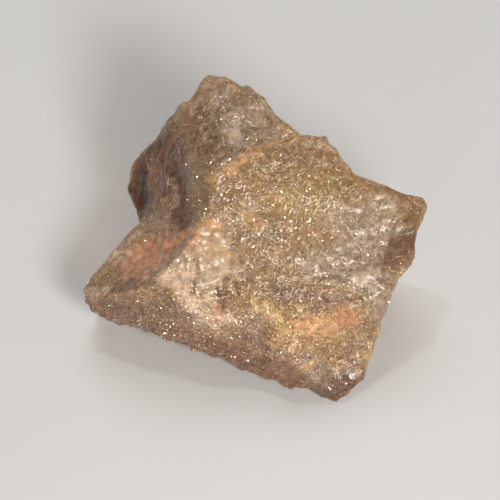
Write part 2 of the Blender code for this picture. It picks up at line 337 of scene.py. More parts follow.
# an even grid on each side of a cube, pushed out to a ball: each quad looks outward
def cubeSphere(number):
    slope = np.tan(np.linspace(-1, 1, number + 1) * math.pi / 4)
    wide, high = np.meshgrid(slope, slope, indexing="ij")
    one = np.ones_like(wide)
    sides = ((one, wide, high), (-one, high, wide), (high, one, wide),
             (wide, -one, high), (wide, high, one), (high, wide, -one))
    points = unit(np.concatenate([np.stack(side, -1).reshape(-1, 3) for side in sides]))
    index = np.arange((number + 1) ** 2).reshape(number + 1, number + 1)
    quad = np.stack((index[:-1, :-1], index[1:, :-1], index[1:, 1:], index[:-1, 1:]), -1)
    quads = np.concatenate([quad.reshape(-1, 4) + side * index.size for side in range(6)])
    _, first, again = np.unique(np.round(points, 6), axis=0, return_index=True, return_inverse=True)
    return points[first], again.reshape(-1)[quads]


# puts arrays of points, in millimetres, and of faces with equally many sides into a mesh object that
# rides on the stone
def makePiece(name, points, faces, material, smooth):
    mesh = bpy.data.meshes.new(name)
    sides = faces.shape[1]
    mesh.vertices.add(len(points))
    mesh.vertices.foreach_set("co", (points * 0.001).astype(np.float32).ravel())
    mesh.loops.add(faces.size)
    mesh.loops.foreach_set("vertex_index", faces.astype(np.int32).ravel())
    mesh.polygons.add(len(faces))
    mesh.polygons.foreach_set("loop_start", np.arange(0, faces.size, sides, dtype=np.int32))
    mesh.polygons.foreach_set("use_smooth", np.full(len(faces), smooth))
    mesh.update(calc_edges=True)
    mesh.validate()
    mesh.materials.append(material)
    piece = bpy.data.objects.new(name, mesh)
    bpy.context.scene.collection.objects.link(piece)
    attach(piece, "root")
    print(name, "has", len(faces) * (sides - 2), "triangles")
    return piece


# shaders

# a node's output: arithmetic on it adds Math nodes, and wire["Name"] is another output of its node
class Wire:
    def __init__(self, net, socket):
        self.net, self.socket = net, socket

    def __getitem__(self, name):
        return Wire(self.net, self.socket.node.outputs[name])

    # one Math node over two values, each a wire or a number
    def math(self, operation, first, second=0.0):
        return self.net.add("Math", {"operation": operation}, {0: first, 1: second})

    # plus, minus and times, with the wire on either side
    def __add__(self, other):
        return self.math("ADD", self, other)

    def __radd__(self, other):
        return self.math("ADD", other, self)

    def __sub__(self, other):
        return self.math("SUBTRACT", self, other)

    def __rsub__(self, other):
        return self.math("SUBTRACT", other, self)

    def __mul__(self, other):
        return self.math("MULTIPLY", self, other)

    def __rmul__(self, other):
        return self.math("MULTIPLY", other, self)

    # the larger of the two
    def over(self, other):
        return self.math("MAXIMUM", self, other)

    # the value without its sign
    def size(self):
        return self.math("ABSOLUTE", self)

    # 0 at low and 1 at high with an eased climb
    def climb(self, low, high):
        return self.net.add("MapRange", {"interpolation_type": "SMOOTHSTEP"},
                            {"Value": self, "From Min": low, "From Max": high})


# one material's nodes
class Net:
    def __init__(self, name):
        self.material = bpy.data.materials.new(name)
        self.material.use_nodes = True
        self.tree = self.material.node_tree
        self.tree.nodes.clear()

    # adds any node: its settings are set first, then its sockets get values or links
    def add(self, kind, settings=None, sockets=None):
        node = self.tree.nodes.new("ShaderNode" + kind)
        for name, value in (settings or {}).items():
            setattr(node, name, value)
        for name, value in (sockets or {}).items():
            socket = node.inputs[name] if isinstance(name, int) else next(
                one for one in node.inputs if one.enabled and one.name == name)
            if isinstance(value, Wire):
                self.tree.links.new(value.socket, socket)
            else:
                socket.default_value = value
        shown = [one for one in node.outputs if one.enabled]
        return Wire(self, shown[0]) if shown else node

    # one colour times (1 - share) plus the other times share
    def mix(self, share, first, second):
        return self.add("Mix", {"data_type": "RGBA"}, {"Factor": share, "A": first, "B": second})

    # one Vector Math node over two vectors
    def vector(self, operation, first, second):
        return self.add("VectorMath", {"operation": operation}, {0: first, 1: second})

    # a colour's three values, each times the factor
    def scaled(self, colour, factor):
        return self.add("VectorMath", {"operation": "SCALE"}, {0: colour, "Scale": factor})

    # a sum of ever finer noise, each layer times the roughness of the one before it
    def noise(self, where, scale, detail, roughness=0.5, distortion=0.0):
        return self.add("TexNoise", None, {"Vector": where, "Scale": scale, "Detail": detail,
                                           "Roughness": roughness, "Distortion": distortion})

    # the object's own metres times 1000, turned and shifted to the reading's right, up and near
    def reading(self):
        own = self.add("TexCoord")["Object"]
        lean = stone["lookDown"] - math.pi / 2
        back, height = -stone["zero"][1], -stone["zero"][2]
        shift = (0, back * math.cos(lean) - height * math.sin(lean),
                 back * math.sin(lean) + height * math.cos(lean))
        return self.add("Mapping", {"vector_type": "POINT"}, {
            "Vector": own, "Location": shift, "Rotation": (lean, 0, 0), "Scale": (1000, 1000, 1000)})

    # joins the surface, and the inside if there is one, to the output and gives the finished material
    def show(self, surface, volume=None):
        sockets = {"Surface": surface}
        if volume is not None:
            sockets["Volume"] = volume
        self.add("OutputMaterial", None, sockets)
        return self.material


# a colour as a screen shows it, 0 to 255, turned to the shader's linear values
def tint(red, green, blue):
    values = np.array((red, green, blue)) / 255
    linear = np.where(values <= 0.04045, values / 12.92, ((values + 0.055) / 1.055) ** 2.4)
    return (*linear, 1.0)


# the quartz

quartzLook = {
    # the small relief of the skin
    "grid": 128,                  # quads along one of the six sides
    "ripple": (0.07, 0.9, 21),    # height, size and seed of the finest lumps
    "granules": 3.5,              # how much taller the ripple is on the bottom band
    "chips": (0.12, 0.75),        # how deep and how wide the small chips are
    "chipSeeds": ((31, 32, 33), (34, 35, 36)),    # for where a chip lies and which way it leans
    "chipLean": 0.9, "chipMiddle": 0.7,           # how far it leans, and the chips' usual height
    # calmer places: middle, half widths, share of the small relief that is taken off
    "calm": (((-20.5, 10.0), (4.0, 8.0), 0.9), ((-6.8, -1.8), (5.0, 4.0), 1.0),
             ((-17.0, -0.8), (5.0, 2.0), 0.6), ((-11.0, -9.0), (6.0, 3.5), 0.6),
             ((14.5, -25.0), (4.0, 2.6), 0.8), ((-4.0, 20.0), (5.0, 6.0), 0.5)),
    # the painted colours: colour, milkiness and share of needles
    "body": (tint(160, 128, 92), 0.7, 0.7),
    "band": (tint(84, 47, 25), 0.9, 1.2), "bandStrength": 0.8,
    # how the colours' edges waver: height, size and added seed, then a seed for each direction
    "wander": ((1.3, 3.1, 0), (0.7, 1.1, 5)), "wanderSeeds": (51, 52, 53),
    "spread": 1.4,                # where a spot ends, in its half widths
    "softness": 0.6,              # the outer share of that over which it fades
    "reach": 9.0,                 # how deep along the view a spot colours the skin
    "nearby": (0.6, 2.0),         # square millimetres, and times the closest point's, to look within
    # spots of the far side: seed, number, range of half widths; how low each is for its depth, its
    # strength, and how far past the near side they begin
    "hiddenSpots": (61, 70, (3.0, 8.5)),
    "hiddenFlat": 0.6, "hiddenStrength": 0.8, "hiddenBehind": 4.0,
    "hiddenColours": ("crown", "grey", "veil", "green gold", "cream", "frost", "left ridge",
                      "copper", "orange", "yellow"),
    # clear quartz, its inside and its shadow
    "ior": 1.544, "clearRoughness": 0.04,
    "absorb": tint(214, 180, 132), "absorbDensity": 120.0,
    "shadowTint": tint(240, 230, 214),
    # milky quartz
    "hazeRoughness": 0.42,
    "sheen": (0.15, 0.4), "coat": (0.3, 0.1),     # weight and roughness
    # cloudy patches: noise scale, detail and roughness, where they begin and end, the stain's
    # brightness and the milk between them, and what a whole patch adds to each
    "mottle": (0.8, 4.0, 0.65), "mottleEdge": (0.3, 0.7),
    "mottleBright": (0.6, 0.5), "mottleMilk": (0.35, 0.6),
    # how the milkiest places even out: toward which patch, over which milkiness, how far
    "evenPatch": 0.9, "evenMilk": (0.9, 1.4), "evenShare": 0.35,
    # sugary grain: noise, then where light and dark grains begin and end and how bright they are
    "grain": (3.0, 4.0, 0.75), "grainShare": 0.8,
    "grains": (((0.5, 0.64), 1.8), ((0.48, 0.37), 0.3)),
    # sets of fine threads: turn, noise scale, stretch; then their noise's detail, roughness and
    # distortion, their width in it, and the clumps in which they are bright
    "threads": (((0.2, 0.1, 0.5), 1.5, 8.0), ((0.1, 0.6, 1.9), 2.2, 6.0),
                ((0.7, -0.4, -0.6), 1.8, 7.0), ((-0.5, 0.3, 2.7), 2.6, 6.0)),
    "threadNoise": (1.0, 0.5, 0.4), "threadWidth": 0.07,
    "threadShare": 0.6, "threadClumps": (0.35, 2.0), "clumpEdge": (0.36, 0.6), "clumpLeast": 0.3,
    "threadBright": 1.7, "threadCream": (0.35, tint(232, 214, 186)),
    # tiny facets, so many to a millimetre; on milky and on clear quartz: share of facets, share of
    # grain, what is left of both in quiet places, height in metres, strength
    "facets": 4.2,
    "hazeBump": (0.6, 0.4, 0.2, 0.001, 0.8), "clearBump": (0.9, 0.3, 0.25, 0.0004, 0.7),
}

# colours laid one over another: how milky the quartz is there, how many needles it holds, and
# each spot's (right, up), half widths, turn in degrees, strength
regions = {
    "crown": {"colour": tint(160, 128, 92), "milk": 0.8, "needles": 0.2, "spots": (
        ((-4.5, 21.5), (7.0, 7.5), -30, 0.8),)},
    # darker brown on the crown and its edges; the spot along the step, where the crown dips under the
    # main face, is painted shade
    "crown brown and crease shade": {"colour": tint(141, 108, 66), "milk": 0.75, "needles": 0.25, "spots": (
        ((-8.6, 18.5), (2.4, 5.5), 4, 0.6), ((-3.6, 16.6), (5.0, 1.6), 28, 0.8),
        ((3.0, 22.0), (6.0, 1.8), -38, 0.6), ((9.5, 14.5), (5.5, 3.0), -30, 0.8),
        ((16.5, 10.6), (4.5, 2.2), -28, 0.6))},
    # the left lobe, turned away from the light, is painted near-black: partly smoky quartz, partly
    # painted shade
    "shaded smoky lobe": {"colour": tint(44, 35, 29), "milk": 0.5, "needles": 0.0, "spots": (
        ((-21.0, 9.0), (2.6, 6.5), 8, 1.0), ((-17.6, 16.6), (1.6, 4.0), -30, 0.7))},
    "left brown": {"colour": tint(124, 82, 56), "milk": 0.7, "needles": 0.08, "spots": (
        ((-15.0, 12.0), (3.4, 8.0), 6, 0.95), ((-12.6, 5.0), (2.6, 3.4), 0, 0.9))},
    "left ridge": {"colour": tint(190, 156, 128), "milk": 0.9, "needles": 0.1, "spots": (
        ((-14.8, 7.2), (0.9, 4.0), 6, 0.8), ((-16.4, 3.0), (2.0, 1.2), 20, 0.7),
        ((-21.0, -5.6), (3.4, 1.6), 22, 0.8))},
    "rosy": {"colour": tint(158, 106, 80), "milk": 0.8, "needles": 0.15, "spots": (
        ((-17.2, 12.5), (1.4, 4.2), 10, 0.7), ((-12.2, 19.5), (1.0, 4.4), -30, 0.6))},
    "gold": {"colour": tint(121, 90, 42), "milk": 0.4, "needles": 1.3, "spots": (
        ((-4.4, 8.2), (6.5, 6.0), 20, 0.9), ((5.0, 9.0), (9.0, 7.0), -25, 0.8),
        ((1.5, 0.6), (5.0, 4.0), 0, 0.8))},
    "amber": {"colour": tint(106, 75, 32), "milk": 0.5, "needles": 1.2, "spots": (
        ((-6.2, 8.0), (3.6, 5.2), 15, 0.8), ((2.6, 0.5), (3.6, 2.2), 0, 0.6),
        ((9.0, 15.0), (3.4, 3.2), -30, 0.4), ((16.6, 10.0), (3.6, 2.6), -30, 0.4))},
    "green gold": {"colour": tint(136, 114, 64), "milk": 0.45, "needles": 1.2, "spots": (
        ((8.6, 6.8), (6.0, 3.2), 10, 0.75), ((15.0, 8.6), (4.5, 2.2), -25, 0.6))},
    "grey": {"colour": tint(178, 158, 136), "milk": 0.9, "needles": 0.35, "spots": (
        ((19.5, 2.5), (6.5, 5.5), -20, 0.9), ((16.5, -5.0), (8.5, 3.6), -8, 0.8),
        ((10.8, -22.6), (3.4, 2.0), -35, 0.8), ((21.4, -9.5), (3.0, 4.0), 0, 0.6))},
    "recess": {"colour": tint(142, 124, 110), "milk": 0.5, "needles": 0.6, "spots": (
        ((10.0, -10.4), (7.0, 2.0), -6, 0.85), ((3.6, -9.2), (2.4, 1.5), 0, 0.85),
        ((0.4, -16.4), (3.6, 2.6), -15, 0.7), ((6.0, -19.6), (8.0, 1.6), -22, 0.5),
        ((17.5, -20.0), (3.0, 1.2), -20, 0.6))},
    "scar": {"colour": tint(172, 137, 96), "milk": 1.4, "needles": 0.02, "spots": (
        ((-6.8, -1.2), (4.4, 3.8), -35, 1.0),)},
    "frost": {"colour": tint(196, 170, 140), "milk": 1.2, "needles": 0.2, "spots": (
        ((-7.6, -5.6), (3.2, 3.2), 0, 0.9), ((-11.0, -3.0), (1.6, 3.0), -30, 0.6))},
    "cream": {"colour": tint(206, 174, 146), "milk": 1.2, "needles": 0.6, "spots": (
        ((-13.4, -7.2), (3.6, 2.2), 8, 0.95), ((-12.4, -10.4), (1.8, 1.8), 0, 0.8),
        ((-8.8, -12.0), (4.6, 2.8), -30, 0.85), ((-16.6, -4.4), (5.0, 0.8), 34, 0.9),
        # this last spot lies on the arm's upper outline: partly pale quartz, partly a painted rim of
        # light
        ((-25.0, -2.6), (3.0, 0.9), 30, 0.7))},
    "copper": {"colour": tint(204, 144, 108), "milk": 1.3, "needles": 0.05, "spots": (
        ((-17.2, -1.6), (6.4, 2.8), 24, 0.95), ((-20.0, -5.0), (4.0, 1.6), 22, 0.7),
        ((-21.6, -3.2), (3.6, 1.4), 24, 0.8), ((-11.6, 0.6), (2.0, 1.6), 0, 0.6))},
    "umber": {"colour": tint(96, 60, 36), "milk": 1.0, "needles": 0.25, "spots": (
        ((14.8, -25.4), (4.6, 2.8), 30, 1.0), ((25.3, -1.8), (2.6, 4.0), -20, 0.9),
        ((0.0, -16.6), (3.4, 2.4), -12, 0.35),
        ((-23.0, -7.6), (3.4, 1.4), 12, 0.5), ((-17.0, -11.8), (6.5, 1.6), -12, 0.5))},
    "rust": {"colour": tint(114, 76, 46), "milk": 0.8, "needles": 0.3, "spots": (
        ((28.4, 4.6), (2.0, 3.2), 0, 0.8), ((25.0, 8.2), (4.0, 1.0), -25, 0.8),
        ((27.0, 0.0), (1.2, 1.6), -10, 0.7), ((-5.2, -8.0), (0.7, 1.4), 0, 0.7),
        ((-10.4, -7.0), (0.5, 3.0), 10, 0.25), ((16.0, -27.0), (3.0, 1.2), 30, 0.4))},
    # darker brown along the crescent dent: partly brown stain, partly painted shade in the dent
    "crescent": {"colour": tint(118, 80, 54), "milk": 1.0, "needles": 0.15, "spots": (
        ((-5.8, -10.4), (0.8, 2.9), 14, 1.0),)},
    # pale on the arm's tip and along its upper outline: partly frosted quartz, partly a painted rim of
    # light
    "pale tip and rim light": {"colour": tint(232, 196, 164), "milk": 0.9, "needles": 0.15, "spots": (
        ((-27.8, -8.8), (2.0, 1.8), 0, 0.9), ((-22.4, -0.4), (5.0, 0.9), 38, 0.7),
        ((-24.6, -2.7), (3.4, 1.5), 35, 1.0))},
    "veil": {"colour": tint(196, 174, 146), "milk": 0.9, "needles": 0.4, "spots": (
        ((-4.2, 20.4), (1.6, 4.8), 8, 0.6), ((-0.6, 5.2), (1.2, 3.6), -30, 0.4))},
    "orange": {"colour": tint(210, 156, 106), "milk": 1.1, "needles": 0.5, "spots": (
        ((11.0, -14.8), (6.4, 2.6), 6, 0.95), ((-4.0, 13.4), (5.0, 0.7), 28, 0.8),
        ((9.3, -21.8), (1.2, 0.6), 0, 0.9), ((-9.0, 2.0), (3.4, 0.7), 4, 0.8),
        ((0.6, 2.6), (3.0, 0.8), -20, 0.6), ((5.0, -17.8), (3.0, 0.9), -10, 0.5),
        ((-10.8, -1.4), (0.6, 2.8), 0, 0.8))},
    "yellow": {"colour": tint(204, 166, 112), "milk": 1.0, "needles": 0.5, "spots": (
        ((2.4, -12.4), (3.0, 1.5), -35, 0.9), ((14.4, -17.6), (1.3, 0.9), 30, 0.9),
        ((7.4, -11.6), (2.0, 0.9), -20, 0.7), ((19.6, -19.4), (1.0, 2.0), -25, 0.3))},
    "red": {"colour": tint(198, 134, 96), "milk": 1.1, "needles": 0.4, "spots": (
        ((16.2, -14.0), (1.6, 1.6), -25, 0.9), ((14.4, -12.2), (2.2, 0.6), 20, 0.6),
        ((-6.6, -12.6), (1.4, 0.9), 0, 0.6))},
}


# small chips and ripples, weaker in calm places: a chip is the highest of bowls round scattered
# middles, one to a cell, each 1 - distance squared plus a lean
def chipHeight(points):
    depth, size = quartzLook["chips"]
    middleSeeds, leanSeeds = quartzLook["chipSeeds"]
    cells = np.floor(points / size).astype(np.int64)
    highest = np.full(len(points), -np.inf)
    for corner in np.ndindex(3, 3, 3):
        cell = cells + np.array(corner) - 1
        middle = cell + 0.5 + 0.5 * np.stack([scatter(cell, seed) for seed in middleSeeds], -1)
        lean = quartzLook["chipLean"] * np.stack([scatter(cell, seed) for seed in leanSeeds], -1)
        away = points / size - middle
        highest = np.maximum(highest, 1 - (away * away).sum(-1) + (away * lean).sum(-1))
    tall, wide, seed = quartzLook["ripple"]
    ripple = tall * hills(points, wide, seed) * (1 + quartzLook["granules"] * bandShare(points))
    height = ripple + depth * (quartzLook["chipMiddle"] - highest)
    right, up, _ = (points + stone["heart"]).T
    for (middleRight, middleUp), (wide, high), strength in quartzLook["calm"]:
        apart = ((right - middleRight) / wide) ** 2 + ((up - middleUp) / high) ** 2
        height = height * (1 - strength * np.exp(-apart))
    return height


rays, quads = cubeSphere(quartzLook["grid"])
ball = rays * skinLength(rays, chipHeight)[:, None]      # measured from the heart
skin = place(ball)
skinReading = toReading(skin - stone["zero"])
print("the stone's skin is worked out")

# each quad's middle, diagonals, area and outward way
quadCorners = ball[quads]
quadMiddle = quadCorners.mean(1)
quadAcross = quadCorners[:, 2] - quadCorners[:, 0]
quadAlong = quadCorners[:, 3] - quadCorners[:, 1]
quadCross = np.cross(quadAcross, quadAlong)
quadArea = np.linalg.norm(quadCross, axis=1) / 2
quadOut = quadCross / np.maximum(quadArea * 2, 1e-9)[:, None]


# how near the skin is to the eye at a place of the picture: the nearest of the skin's points round
# it, by the square of their distance
def nearAt(right, up):
    least, times = quartzLook["nearby"]
    away = (skinReading[:, 0] - right) ** 2 + (skinReading[:, 1] - up) ** 2
    return float(skinReading[away < max(least, away.min() * times), 2].max())


# every spot as its middle, half widths, turn, strength and region: those of the list, then seeded
# ones round middles drawn on the far side
def allSpots():
    look = quartzLook
    spots = [((*middle, nearAt(*middle)), (*halfWidths, look["reach"]), turn, strength, region)
             for region in regions.values() for middle, halfWidths, turn, strength in region["spots"]]
    seed, number, halfWidths = look["hiddenSpots"]
    random = np.random.default_rng(seed)
    hidden = skinReading[skinReading[:, 2] < stone["nearSide"] - look["hiddenBehind"]]
    for region in [regions[name] for name in random.choice(look["hiddenColours"], number)]:
        middle = hidden[random.integers(len(hidden))]
        wide, high = random.uniform(*halfWidths, 2)
        size = (wide, high * look["hiddenFlat"], high)
        spots.append((middle, size, random.uniform(0, 180), look["hiddenStrength"], region))
    return spots


# a layer's red, green, blue, milkiness and share of needles laid over the values so far
def layOver(values, share, colour, milk, needles):
    return values * (1 - share) + np.array((*colour[:3], milk, needles)) * share


# colour, milkiness and share of needles at places measured from the heart: over the plain body and
# the band, each spot is laid on by an eased climb of 1 - distance in half widths, all of it wandering
def paint(points):
    look = quartzLook
    wander = [sum(tall * hills(points, size, seed + added) for tall, size, added in look["wander"])
              for seed in look["wanderSeeds"]]
    right, up, near = (points + stone["heart"] + np.stack(wander, -1)).T
    values = layOver(np.zeros(5), 1, *look["body"])
    values = layOver(values, bandShare(points)[:, None] * look["bandStrength"], *look["band"])
    for middle, halfWidths, turn, strength, region in allSpots():
        across, along = turned(right - middle[0], up - middle[1], turn)
        lengths = np.stack((across, along, near - middle[2]), -1) / halfWidths
        share = 1 - np.sqrt((lengths ** 2).sum(-1)) / look["spread"]
        share = np.clip(share / look["softness"], 0, 1)
        share = (share * share * (3 - 2 * share) * strength)[:, None]
        values = layOver(values, share, region["colour"], region["milk"], region["needles"])
    return values[:, :3], values[:, 3], values[:, 4]


# keeps a colour, and for the skin its milkiness and grain, at each point of a piece's mesh
def dye(piece, colour, milk=None, grain=None):
    if milk is None:
        milk = np.ones(len(colour))
    stain = piece.data.attributes.new("stain", "FLOAT_COLOR", "POINT")
    stain.data.foreach_set("color", np.column_stack((colour, milk)).astype(np.float32).ravel())
    if grain is not None:
        grained = piece.data.attributes.new("grained", "FLOAT", "POINT")
        grained.data.foreach_set("value", grain.astype(np.float32))


# bright lines that run along one way: 1 where stretched noise is at its middle, 0 a little off it
def threads(net, where, turn, scale, stretch):
    run = net.add("Mapping", {"vector_type": "TEXTURE"}, {
        "Vector": where, "Rotation": turn, "Scale": (stretch, 1, 1)})
    noise = net.noise(run, scale, *quartzLook["threadNoise"])
    return 1 - (noise - 0.5).size().climb(0.0, quartzLook["threadWidth"])


# a bump of facets plus grain, weaker where the quartz isn't grained
def roughen(net, tilt, grain, grained, values):
    facets, grains, least, height, strength = values
    relief = (tilt * facets + grain * grains) * (least + (1 - least) * grained)
    return net.add("Bump", None, {"Height": relief, "Distance": height, "Strength": strength})


# clear and milky quartz mixed by the painted milkiness, with patches, grains and threads in the
# stain's own colour, an absorbing inside, and a thin shadow
def makeQuartz():
    look = quartzLook
    net = Net("rutilated_quartz")
    where = net.reading()
    stain = net.add("Attribute", {"attribute_name": "stain"})
    grained = net.add("Attribute", {"attribute_name": "grained"})["Fac"]
    grain = net.noise(where, *look["grain"])
    patch = net.noise(where, *look["mottle"]).climb(*look["mottleEdge"])
    evened = stain["Alpha"].climb(*look["evenMilk"]) * look["evenShare"]
    patch = patch + (look["evenPatch"] - patch) * evened
    least, added = look["mottleBright"]
    colour = net.scaled(stain, least + added * patch)
    for edge, brightness in look["grains"]:
        share = grain.climb(*edge) * look["grainShare"] * grained
        colour = net.mix(share, colour, net.scaled(stain, brightness))

    sets = [threads(net, where, *values) for values in look["threads"]]
    lines = sets[0]
    for one in sets[1:]:
        lines = lines.over(one)
    clump = net.noise(where, *look["threadClumps"]).climb(*look["clumpEdge"])
    clump = look["clumpLeast"] + (1 - look["clumpLeast"]) * clump
    share = lines * clump * look["threadShare"] * grained
    creamShare, cream = look["threadCream"]
    bright = net.mix(creamShare, net.scaled(stain, look["threadBright"]), cream)
    colour = net.mix(share, colour, bright)

    # a facet's tilt: the way from its cell's middle times the cell's own random way
    cells = net.add("TexVoronoi", {"feature": "F1"}, {"Vector": where, "Scale": look["facets"]})
    tilt = net.vector("DOT_PRODUCT", net.vector("SUBTRACT", where, cells["Position"]),
                      net.vector("SUBTRACT", cells["Color"], (0.5, 0.5, 0.5)))["Value"]

    haze = net.add("BsdfPrincipled", None, {
        "Base Color": colour, "Roughness": look["hazeRoughness"], "IOR": look["ior"],
        "Sheen Weight": look["sheen"][0], "Sheen Roughness": look["sheen"][1],
        "Coat Weight": look["coat"][0], "Coat Roughness": look["coat"][1],
        "Normal": roughen(net, tilt, grain, grained, look["hazeBump"])})
    clear = net.add("BsdfPrincipled", None, {
        "Base Color": (1, 1, 1, 1), "Roughness": look["clearRoughness"], "IOR": look["ior"],
        "Transmission Weight": 1.0, "Normal": roughen(net, tilt, grain, grained, look["clearBump"])})
    least, added = look["mottleMilk"]
    milk = stain["Alpha"] * (least + added * patch)
    surface = net.add("MixShader", None, {0: milk, 1: clear, 2: haze})
    passing = net.add("BsdfTransparent", None, {"Color": look["shadowTint"]})
    shadowRay = net.add("LightPath")["Is Shadow Ray"]
    surface = net.add("MixShader", None, {0: shadowRay, 1: surface, 2: passing})
    volume = net.add("VolumeAbsorption", None, {
        "Color": look["absorb"], "Density": look["absorbDensity"]})
    return net.show(surface, volume)


chunk = makePiece("quartz_skin", skin, quads, makeQuartz(), True)
skinColour, skinMilk, skinNeedles = paint(ball)
dye(chunk, skinColour, skinMilk, np.minimum(skinNeedles, 1.0))
quadColour, _, quadNeedles = paint(quadMiddle)
print("the stone's colours are painted")
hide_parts("quartz_chunk")

# the rutile needles

# each kind: seed, how many, in how many sprays, the share of these that are stars, how far needles
# fan out of their spray's way, how much of their dip into the stone is kept, ranges of length,
# radius and depth, how strongly they keep near the skin, how far a tip may stand proud, their own
# colour, its share over the quartz's colour there, how much brighter than that they are, how metallic
# and rough, and where they are denser: middle, half widths, how much denser. Flakes have a tilt of
# their own in place of a spray's way
needleKinds = {
    "golden_needles": {
        "seed": 41, "count": 22000, "sprays": 420, "stars": 0.3, "fan": 0.22, "dip": 0.25,
        "length": (0.5, 3.4), "radius": (0.025, 0.06), "depth": (0.0, 1.2), "hug": 2.4, "proud": -0.02,
        "colour": tint(246, 212, 136), "own": 0.2, "gain": (0.35, 4.6), "metal": 0.2, "rough": 0.2,
        "dense": (((-1.0, 7.0), (12.0, 9.0), 2.5), ((8.0, 5.0), (12.0, 7.0), 1.5)),
    },
    "copper_needles": {
        "seed": 42, "count": 28000, "sprays": 900, "stars": 0.1, "fan": 0.9, "dip": 0.5,
        "length": (0.2, 0.9), "radius": (0.05, 0.12), "depth": (-0.04, 0.5), "hug": 2.4, "proud": 0.02,
        "colour": tint(206, 132, 86), "own": 0.3, "gain": (0.1, 5.0), "metal": 0.2, "rough": 0.3,
        "dense": (((-10.0, -14.0), (20.0, 7.0), 5.0), ((8.0, -20.0), (14.0, 7.0), 5.0),
                  ((10.0, -10.0), (7.0, 2.5), 2.0)),
    },
    "pale_hairs": {
        "seed": 43, "count": 31000, "sprays": 900, "stars": 0.1, "fan": 0.9, "dip": 0.2,
        "length": (0.2, 1.2), "radius": (0.022, 0.05), "depth": (0.0, 0.6), "hug": 2.4, "proud": -0.02,
        "colour": tint(255, 244, 220), "own": 0.4, "gain": (1.2, 5.0), "metal": 0.1, "rough": 0.22,
        "dense": (((4.0, 2.0), (24.0, 20.0), 1.0),),
    },
    "glint_flakes": {
        "seed": 44, "count": 33000, "sprays": 900, "stars": 0.0, "fan": 0.0, "dip": 1.0,
        "length": (0.015, 0.04), "radius": (0.05, 0.19), "depth": (-0.04, 0.2), "hug": 2.0, "proud": 0.03,
        "colour": tint(252, 248, 238), "own": 0.6, "gain": (1.2, 2.4), "metal": 0.8, "rough": 0.12,
        "tilt": 0.42, "dense": (((-1.0, 7.0), (14.0, 10.0), 2.0), ((10.0, 2.0), (16.0, 12.0), 1.0),
                               ((-3.8, 21.8), (3.4, 4.6), 6.0), ((-9.4, 3.2), (1.4, 1.1), 6.0),
                               ((1.6, 0.6), (5.0, 3.0), 2.0), ((-14.0, -3.6), (3.6, 1.8), 6.0),
                               ((2.0, -18.0), (20.0, 6.0), 3.0), ((-16.0, -14.0), (12.0, 3.0), 3.0)),
    },
    "long_needles": {
        "seed": 45, "count": 700, "sprays": 260, "stars": 0.1, "fan": 0.5, "dip": 0.05,
        "length": (3.0, 8.0), "radius": (0.04, 0.08), "depth": (0.0, 0.3), "hug": 1.5, "proud": -0.02,
        "colour": tint(250, 232, 180), "own": 0.5, "gain": (1.5, 2.6), "metal": 0.3, "rough": 0.18,
        "dense": (((0.0, 8.0), (16.0, 12.0), 4.0),),
    },
}


# what all kinds share
needleLook = {
    "bend": 0.03,                # how far a needle's middle strays, as a share of its length
    "onQuad": 0.35,              # how far from its quad's middle it stands, as a share of the diagonals
    "lowest": 0.05,              # millimetres above the ground from where there are needles
    "sprayPull": (0.5, 1.5),     # how unevenly the sprays draw the needles round them
    "shortness": 2.2,            # the higher, the more of them are near the least length
    "dullness": 2,               # the higher, the more of them are near the least brightness
    "brightest": 0.95,
    "ior": 1.8,
    "shade": (1.2, 2.0), "shadeEdge": (0.3, 0.7), "shadeBright": (0.85, 0.3),
    "speck": (7.0, 1.0), "speckEdge": (0.2, 0.8), "speckRough": 0.14,
    "speckBump": (0.00002, 0.4),     # height in metres, strength
}


# two tips and a ring of three between them for each needle: six triangles looking outward
def needleMesh(first, last, radius, random):
    length = np.linalg.norm(last - first, axis=1)[:, None]
    along = unit(last - first)
    aside = unit(np.cross(along, random.normal(size=along.shape)))
    bend = random.uniform(-needleLook["bend"], needleLook["bend"], (len(first), 1)) * length
    middle = (first + last) / 2 + aside * bend
    third = np.cross(along, aside)
    points = [first]
    for step in range(3):
        angle = step * 2 * math.pi / 3
        outward = aside * math.cos(angle) + third * math.sin(angle)
        points.append(middle + outward * radius[:, None])
    points.append(last)
    corners = np.array(((0, 2, 1), (0, 3, 2), (0, 1, 3), (4, 1, 2), (4, 2, 3), (4, 3, 1)))
    faces = corners[None] + 5 * np.arange(len(first))[:, None, None]
    return np.stack(points, 1).reshape(-1, 3), faces.reshape(-1, 3)


# points pulled back along their rays until they are no further out than the skin and what may
# stand proud: each times the smaller of 1 and its limit over its length
def keepInside(points, proud):
    length = np.linalg.norm(points, axis=1)
    limit = skinLength(points / length[:, None], chipHeight) + proud
    return points * np.minimum(1, limit / length)[:, None]


# the painted colour, lighter and darker in soft clouds, on a part metal with fine specks
def makeRutile(name, kind):
    look = needleLook
    net = Net(name)
    where = net.reading()
    least, added = look["shadeBright"]
    shade = net.noise(where, *look["shade"]).climb(*look["shadeEdge"])
    colour = net.scaled(net.add("Attribute", {"attribute_name": "stain"}), least + added * shade)
    speck = net.noise(where, *look["speck"])
    height, strength = look["speckBump"]
    bump = net.add("Bump", None, {"Height": speck, "Distance": height, "Strength": strength})
    surface = net.add("BsdfPrincipled", None, {
        "Base Color": colour, "Metallic": kind["metal"], "IOR": look["ior"],
        "Roughness": speck.climb(*look["speckEdge"]) * look["speckRough"] + kind["rough"],
        "Normal": bump})
    return net.show(surface)


# values from low to high, the more of them near low the higher the power
def drawn(random, span, size, power):
    low, high = span
    return low + (high - low) * random.random(size) ** power


